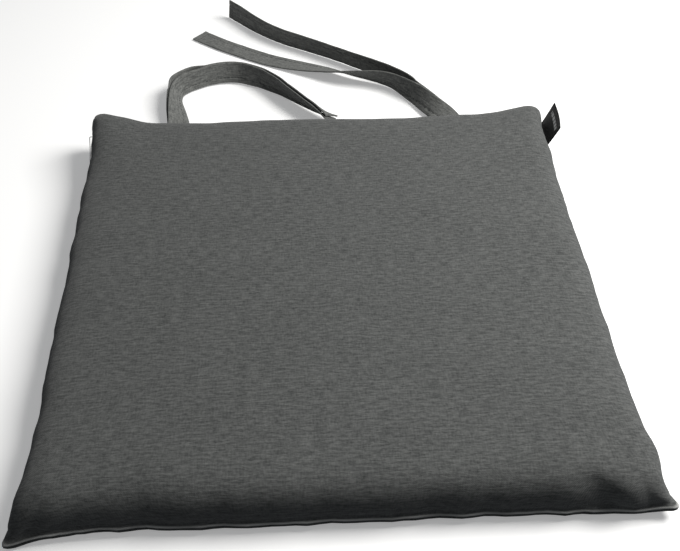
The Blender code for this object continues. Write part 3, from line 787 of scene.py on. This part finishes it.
def zip_opened(co, rises):
    """Where the rear seam is open for the zip, the cloth's edge is folded back to the opening."""
    x, y, z = co
    rear = smooth_step(y, 0.185, 0.192)
    open_here = rear * (1 - smooth_step(abs(x), ZIP_HALF_LENGTH - 0.002, ZIP_HALF_LENGTH + 0.004))
    if rises:
        top = SEAM_HEIGHT + 3 * ZIP_HALF_OPENING
        if z < top:
            share = (z - SEAM_HEIGHT) / (top - SEAM_HEIGHT)
            z += open_here * ZIP_HALF_OPENING * (1 - share)
    else:
        z -= open_here * ZIP_HALF_OPENING * max(z / SEAM_HEIGHT, 0.0) ** 2
    return Vector((x, y, z))


for name, node, places, faces, cloth, rises in (
    ("upper_panel", "cover_top_panel", top_places, top_faces, top_cloth, True),
    ("lower_panel", "cover_bottom_panel", bottom_places, bottom_faces, bottom_cloth, False),
):
    mesh = bpy.data.meshes.new(name)
    mesh.from_pydata([zip_opened(softened(co), rises) for co in places], [], faces)
    layer = mesh.attributes.new("cloth", "FLOAT_VECTOR", "POINT")
    for spot, value in zip(layer.data, cloth):
        spot.vector = value
    mesh.materials.append(cover_canvas)
    mesh.shade_smooth()
    panel = bpy.data.objects.new(name, mesh)
    bpy.context.scene.collection.objects.link(panel)
    thick = panel.modifiers.new("thickness", "SOLIDIFY")
    thick.thickness = CLOTH
    thick.offset = -1
    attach(panel, "pad")
    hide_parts(node)

# ---- Foam ----
# One slab of open-cell polyurethane foam, cut to the cover's shape with its edges rounded.
# It is cream coloured, and hidden unless the zip is open.
foam, foam_tree, foam_shader = new_material("foam", Sheen_Weight=0.2, Specular_IOR_Level=0.2)
foam_place = foam_tree.nodes.new("ShaderNodeTexCoord")
cells = foam_tree.nodes.new("ShaderNodeTexVoronoi")
cells.inputs["Scale"].default_value = 900.0
wire(foam_tree, foam_place, cells, "Vector", "Object")
pore = put_range(foam_tree, (cells, 0), 0.15, 0.75)
# The pore centres are coloured darker than the struts: painted shade in the hollows.
foam_tone = put_mix(foam_tree, (pore, 0), (0.42, 0.38, 0.28), (0.78, 0.74, 0.62))
wire(foam_tree, foam_tone, foam_shader, "Base Color", mix_result(foam_tone))
foam_dull = put_range(foam_tree, (cells, 0), 0.0, 1.0, 0.98, 0.88)
wire(foam_tree, foam_dull, foam_shader, "Roughness")
put_bump(foam_tree, foam_shader, (pore, 0), 0.0004, 0.7)
FOAM_CLEARANCE = 0.0038
UNDERSIDE_CLEARANCE = 0.0012
upper_foam = [
    (inset + FOAM_CLEARANCE, height - FOAM_CLEARANCE * smooth_step(height, 0.010, 0.034), corner, parts)
    for inset, height, corner, parts in TOP_LINES[4:]
]
first = upper_foam[0]
lower_foam = [
    first,
    (first[0], 0.0080, 0.0090, 2),
    (first[0] + 0.0030, 0.0040, 0.0100, 2),
    (first[0] + 0.0120, UNDERSIDE_CLEARANCE + 0.0003, 0.0130, 3),
    (0.0900, UNDERSIDE_CLEARANCE + 0.0003, 0.0200, 1),
]
bm = bmesh.new()
for lines in (upper_foam, lower_foam):
    places, faces, _ = cover_panel(lines, lines is upper_foam)
    verts = [bm.verts.new(softened(co)) for co in places]
    for face in faces:
        bm.faces.new([verts[i] for i in face])
bmesh.ops.remove_doubles(bm, verts=bm.verts, dist=0.00001)
foam_slab = link_mesh("foam_slab", bm, foam)
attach(foam_slab, "pad")
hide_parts("foam_core")

# ---- Label ----
# A black satin ribbon folded in half and caught by both ends in the right-hand seam.
# It is 34 mm wide and stands 26 mm out, bowed a little, with a pale woven band near its fold.
LABEL_LENGTH = 0.034
LABEL_REACH = 0.026
LABEL_THICKNESS = 0.0012
LABEL_LEAN = math.radians(31.0)
LABEL_TWIST = math.radians(4.0)
LABEL_FROM_CORNER = 0.003
RIBBON = 0.00042

satin, satin_tree, satin_shader = new_material(
    "label_satin", Sheen_Weight=0.02, Specular_IOR_Level=0.30
)
ribbon_place = satin_tree.nodes.new("ShaderNodeAttribute")
ribbon_place.attribute_name = "cloth"
ribbon_axes = satin_tree.nodes.new("ShaderNodeSeparateXYZ")
wire(satin_tree, ribbon_place, ribbon_axes, 0, "Vector")


def put_window(tree, value, low, high, soft):
    """1 where the value lies between low and high, with soft edges."""
    over = put_range(tree, value, low - soft, low + soft)
    under = put_range(tree, value, high - soft, high + soft, 1.0, 0.0)
    return put_math(tree, "MULTIPLY", (over, 0), (under, 0))


band = put_window(satin_tree, (ribbon_axes, 1), 0.0178, 0.0212, 0.00015)
band_run = put_window(satin_tree, (ribbon_axes, 0), 0.0050, 0.0290, 0.0002)
ribs = put_math(satin_tree, "MULTIPLY", (ribbon_axes, 0), math.tau / 0.0048)
ribs = put_range(satin_tree, (put_math(satin_tree, "SINE", (ribs, 0)), 0), -0.95, -0.55)
band = put_math(satin_tree, "MULTIPLY", (band, 0), (band_run, 0))
band = put_math(satin_tree, "MULTIPLY", (band, 0), (ribs, 0))
satin_floats = put_noise(satin_tree, (ribbon_place, "Vector"), (3200.0, 500.0, 1.0), 1.0)
black = put_mix(satin_tree, (satin_floats, 0), (0.0020, 0.0020, 0.0022), (0.0060, 0.0060, 0.0065))
pale = put_mix(satin_tree, (satin_floats, 0), (0.62, 0.62, 0.62), (0.86, 0.86, 0.85))
label_tone = put_mix(
    satin_tree, (band, 0), (black, mix_result(black)), (pale, mix_result(pale))
)
wire(satin_tree, label_tone, satin_shader, "Base Color", mix_result(label_tone))
satin_shine = put_range(satin_tree, (satin_floats, 0), 0.3, 0.7, 0.42, 0.60)
wire(satin_tree, satin_shine, satin_shader, "Roughness")
put_bump(satin_tree, satin_shader, (satin_floats, 0), 0.00008, 0.6)

label_to = PAD_WIDTH / 2 - LABEL_FROM_CORNER
label_feet = []
for y in (label_to - LABEL_LENGTH, label_to):
    x = seam_edge(y, SIDE_DRAW)
    label_feet.append(Vector((x + 2 * GAP + corner_pull(x, y), y, SEAM_HEIGHT + rear_curl(x, y))))
bm = bmesh.new()
cloth_layer = bm.verts.layers.float_vector.new("cloth")
WIDE_STEPS = 24
REACH_STEPS = 16
centre_line = []
for step in range(REACH_STEPS + 1):
    reach = (LABEL_REACH - LABEL_THICKNESS / 2) * step / REACH_STEPS
    centre_line.append((reach, -LABEL_THICKNESS / 2 + RIBBON / 2))
for step in range(1, 6):
    angle = math.pi * step / 6
    spread = LABEL_THICKNESS / 2 - RIBBON / 2
    reach = LABEL_REACH - LABEL_THICKNESS / 2 + spread * math.sin(angle)
    centre_line.append((reach, -spread * math.cos(angle)))
for step in range(REACH_STEPS, -1, -1):
    reach = (LABEL_REACH - LABEL_THICKNESS / 2) * step / REACH_STEPS
    centre_line.append((reach, LABEL_THICKNESS / 2 - RIBBON / 2))


def label_spot(across, reach, off):
    """A place on the ribbon: across it, out from the seam, and off its middle plane."""
    share = reach / LABEL_REACH
    bow = 0.0016 * math.sin(math.pi * across / LABEL_LENGTH) * share
    curl = 0.0012 * share**2
    lean = LABEL_LEAN - LABEL_TWIST * (0.5 + across / LABEL_LENGTH)
    outward = Vector((math.sin(lean), 0.0, math.cos(lean)))
    face = Vector((math.cos(lean), 0.0, -math.sin(lean)))
    foot = label_feet[0].lerp(label_feet[1], across / LABEL_LENGTH)
    return foot + outward * reach + face * (off + LABEL_THICKNESS / 2 + bow - curl)


sheets = []
for outer in (1, -1):
    grid = []
    for i, (reach, off) in enumerate(centre_line):
        before, after = centre_line[max(i - 1, 0)], centre_line[min(i + 1, len(centre_line) - 1)]
        tangent = Vector((after[0] - before[0], after[1] - before[1])).normalized()
        shift = Vector((tangent.y, -tangent.x)) * outer * RIBBON / 2
        line = []
        for step in range(WIDE_STEPS + 1):
            across = LABEL_LENGTH * step / WIDE_STEPS
            vert = bm.verts.new(label_spot(across, reach + shift.x, off + shift.y))
            vert[cloth_layer] = Vector((across, reach, 0.0))
            line.append(vert)
        grid.append(line)
    sheets.append(grid)
for grid in sheets:
    for low, high in zip(grid, grid[1:]):
        for i in range(WIDE_STEPS):
            bm.faces.new((low[i], low[i + 1], high[i + 1], high[i]))
outer_grid, inner_grid = sheets
for edge in (0, WIDE_STEPS):
    for i in range(len(centre_line) - 1):
        quad = (outer_grid[i][edge], outer_grid[i + 1][edge], inner_grid[i + 1][edge])
        bm.faces.new((*quad, inner_grid[i][edge]))
for end in (0, -1):
    for i in range(WIDE_STEPS):
        quad = (outer_grid[end][i], outer_grid[end][i + 1], inner_grid[end][i + 1])
        bm.faces.new((*quad, inner_grid[end][i]))
label_ribbon = link_mesh("label_ribbon", bm, satin)
label_ribbon.data.set_sharp_from_angle(angle=math.radians(50))
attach(label_ribbon, "label_flap")
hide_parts("label")

# ---- Zip ----
# A light nylon coil zip, 200 mm long, sewn behind the open part of the rear seam so that the
# cover comes off the foam. The coils are spun nylon wire, the slider and stops lacquered zinc.
tape, tape_tree, tape_shader = new_material("zip_tape", Sheen_Weight=0.2)
tape_place = tape_tree.nodes.new("ShaderNodeTexCoord")
tape_weave = put_noise(tape_tree, (tape_place, "Object"), (1900.0, 1900.0, 1400.0), 1.0)
tape_tone = put_mix(tape_tree, (tape_weave, 0), (0.014, 0.0145, 0.015), (0.046, 0.047, 0.048))
wire(tape_tree, tape_tone, tape_shader, "Base Color", mix_result(tape_tone))
tape_dull = put_range(tape_tree, (tape_weave, 0), 0.3, 0.7, 0.80, 0.92)
wire(tape_tree, tape_dull, tape_shader, "Roughness")
put_bump(tape_tree, tape_shader, (tape_weave, 0), 0.0001, 0.6)
for node in ("zip_tape_upper", "zip_tape_lower"):
    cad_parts[node].data.materials.clear()
    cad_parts[node].data.materials.append(tape)

nylon, nylon_tree, nylon_shader = new_material("zip_nylon", Specular_IOR_Level=0.5)
nylon_place = nylon_tree.nodes.new("ShaderNodeTexCoord")
nylon_scuff = put_noise(nylon_tree, (nylon_place, "Object"), (700.0, 700.0, 700.0), 2.0)
nylon_tone = put_mix(nylon_tree, (nylon_scuff, 0), (0.010, 0.010, 0.011), (0.030, 0.030, 0.032))
wire(nylon_tree, nylon_tone, nylon_shader, "Base Color", mix_result(nylon_tone))
nylon_shine = put_range(nylon_tree, (nylon_scuff, 0), 0.3, 0.7, 0.30, 0.48)
wire(nylon_tree, nylon_shine, nylon_shader, "Roughness")
COIL_PITCH = 0.00130
COIL_WIRE = 0.00024
COIL_TURN_STEPS = 10
for half, sign in (("upper", 1), ("lower", -1)):
    node = f"zip_coil_{half}"
    low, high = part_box(node)
    middle = (low + high) / 2
    deep = (high.y - low.y) / 2 - COIL_WIRE
    tall = (high.z - low.z) / 2 - COIL_WIRE
    turns = int((high.x - low.x - 2 * COIL_WIRE) / COIL_PITCH)
    start_x = middle.x - turns * COIL_PITCH / 2
    bm = bmesh.new()
    rings = []
    for step in range(turns * COIL_TURN_STEPS + 1):
        angle = step * math.tau / COIL_TURN_STEPS * sign
        x = start_x + step * COIL_PITCH / COIL_TURN_STEPS
        spot = Vector((x, middle.y + deep * math.sin(angle), middle.z + tall * math.cos(angle)))
        out = Vector((0.0, math.sin(angle) * tall, math.cos(angle) * deep)).normalized()
        ring = []
        for turn in range(5):
            round_wire = turn * math.tau / 5
            offset = Vector((math.cos(round_wire), 0, 0)) + out * math.sin(round_wire)
            ring.append(bm.verts.new(spot + offset * COIL_WIRE))
        rings.append(ring)
    for first, second in zip(rings, rings[1:]):
        for i in range(5):
            j = (i + 1) % 5
            bm.faces.new((first[i], first[j], second[j], second[i]))
    bm.faces.new(rings[0])
    bm.faces.new(rings[-1])
    coil = link_mesh(f"{half}_coil", bm, nylon)
    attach(coil, "pad")
    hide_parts(node)

zinc, zinc_tree, zinc_shader = new_material(
    "zip_zinc", Coat_Weight=0.3, Coat_Roughness=0.25
)
zinc_place = zinc_tree.nodes.new("ShaderNodeTexCoord")
rub = put_noise(zinc_tree, (zinc_place, "Object"), (420.0, 420.0, 420.0), 4.0, 0.65)
edge_wear = zinc_tree.nodes.new("ShaderNodeNewGeometry")
wear_and_painted_highlight = put_range(zinc_tree, (edge_wear, "Pointiness"), 0.50, 0.56)
wear_and_painted_highlight = put_math(zinc_tree, "MULTIPLY", (wear_and_painted_highlight, 0), (rub, 0))
zinc_tone = put_mix(zinc_tree, (wear_and_painted_highlight, 0), (0.020, 0.020, 0.022), (0.26, 0.25, 0.24))
wire(zinc_tree, zinc_tone, zinc_shader, "Base Color", mix_result(zinc_tone))
zinc_shine = put_range(zinc_tree, (rub, 0), 0.3, 0.7, 0.28, 0.46)
wire(zinc_tree, zinc_shine, zinc_shader, "Roughness")
zinc_metal = put_range(zinc_tree, (wear_and_painted_highlight, 0), 0.0, 0.5, 0.75, 1.0)
wire(zinc_tree, zinc_metal, zinc_shader, "Metallic")
for node in ("zip_stop_open_end", "zip_stop_closed_end", "zip_slider", "zip_pull"):
    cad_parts[node].data.materials.clear()
    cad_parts[node].data.materials.append(zinc)

# ---- Studio ----
# The pad lies on a plain pale table under one large soft light, high up and to the right
# behind it, so that its front wall is in shade. A faint even light fills the rest.
# The table glows a little to the camera, a painted light that lifts its shadows, and in
# front of the pad it is dark to bounced light, a painted shade that keeps the front wall dark.
bm = bmesh.new()
bmesh.ops.create_grid(bm, x_segments=2, y_segments=2, size=4.0)
table, table_tree, table_shader = new_material("pale_table", Specular_IOR_Level=0.2)
table_place = table_tree.nodes.new("ShaderNodeTexCoord")
table_grain = put_noise(table_tree, (table_place, "Object"), (1.4, 1.4, 1.4), 3.0)
table_tone = put_mix(table_tree, (table_grain, 0), (0.86, 0.86, 0.855), (0.90, 0.90, 0.895))
table_axes = table_tree.nodes.new("ShaderNodeSeparateXYZ")
wire(table_tree, table_place, table_axes, 0, "Object")
behind = put_range(table_tree, (table_axes, 1), 0.16, 0.34)
# Painted shade: to bounced light the table is dark in front of and under the pad.
bounced = put_mix(table_tree, (behind, 0), (0.15, 0.16, 0.17), (0.90, 0.90, 0.90))
seen = table_tree.nodes.new("ShaderNodeLightPath")
table_shown = put_mix(
    table_tree,
    (seen, "Is Camera Ray"),
    (bounced, mix_result(bounced)),
    (table_tone, mix_result(table_tone)),
)
# Painted light: the table glows to camera rays only.
wire(table_tree, seen, table_shader, "Emission Strength", "Is Camera Ray")
table_shader.inputs["Emission Color"].default_value = (0.30, 0.30, 0.30, 1.0)
wire(table_tree, table_shown, table_shader, "Base Color", mix_result(table_shown))
table_shader.inputs["Roughness"].default_value = 0.85
floor = link_mesh("table", bm, table, smooth=False)

world = bpy.data.worlds.new("even_light")
world.use_nodes = True
sky = world.node_tree.nodes["Background"]
sky.inputs["Color"].default_value = (0.93, 0.96, 1.0, 1.0)
sky.inputs["Strength"].default_value = 0.13
bpy.context.scene.world = world


def soft_light(name, place, aim, size, power, color):
    data = bpy.data.lights.new(name, "AREA")
    data.shape = "SQUARE"
    data.size = size
    data.energy = power
    data.color = color
    lamp = bpy.data.objects.new(name, data)
    lamp.location = place
    lamp.rotation_euler = (Vector(aim) - Vector(place)).to_track_quat("-Z", "Y").to_euler()
    bpy.context.scene.collection.objects.link(lamp)


soft_light("softbox", (0.80, 0.17, 0.98), (0.05, 0.0, 0.0), 0.7, 22.5, (1.0, 0.99, 0.97))
